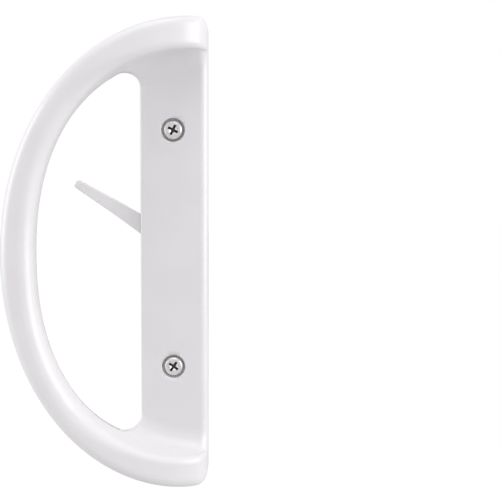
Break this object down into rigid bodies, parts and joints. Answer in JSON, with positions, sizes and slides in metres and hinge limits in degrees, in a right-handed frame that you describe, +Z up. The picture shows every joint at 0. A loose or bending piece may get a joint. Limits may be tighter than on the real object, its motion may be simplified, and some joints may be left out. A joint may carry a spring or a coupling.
{
  "type": "sliding window lock handle, the inside pull with its latch lever",
  "caption": "D-shaped inside pull on a hollow base plate, with a thumb lever in a side slot that turns a flat tailpiece to work the lock of a sliding window or patio door.",
  "frame": {"origin": "halfway between the two mounting screws, in the plane of the base plate's back rim", "axes": "+Z up along the handle, +Y into the door that it is screwed to, +X towards the base plate's side and -X towards the bow of the pull"},
  "size_m": [0.0817, 0.0798, 0.1956],
  "materials": {
    "white_paint": "gloss white powder coat",
    "screw_steel": "plated, satin",
    "plated_steel": "zinc plated",
    "spring_steel": "plain",
    "bearing_plastic": "matte, natural"
  },
  "bodies": {
    "handle": {"handle_casting": "white_paint", "lever_bushing": "bearing_plastic", "friction_washer": "spring_steel", "retainer_plate": "plated_steel", "retainer_screw_upper": "plated_steel", "retainer_screw_lower": "plated_steel", "mounting_screw_upper": "screw_steel", "mounting_screw_lower": "screw_steel"},
    "lever": {"latch_lever": "white_paint", "tailpiece": "plated_steel", "tailpiece_pin": "spring_steel"}
  },
  "joints": [
    {"name": "lever_turn", "type": "hinge", "parent": "handle", "child": "lever", "pos_m": [0, -0.005, 0.0015], "axis": [0, -1, 0], "range_deg": [0, 66]}
  ]
}
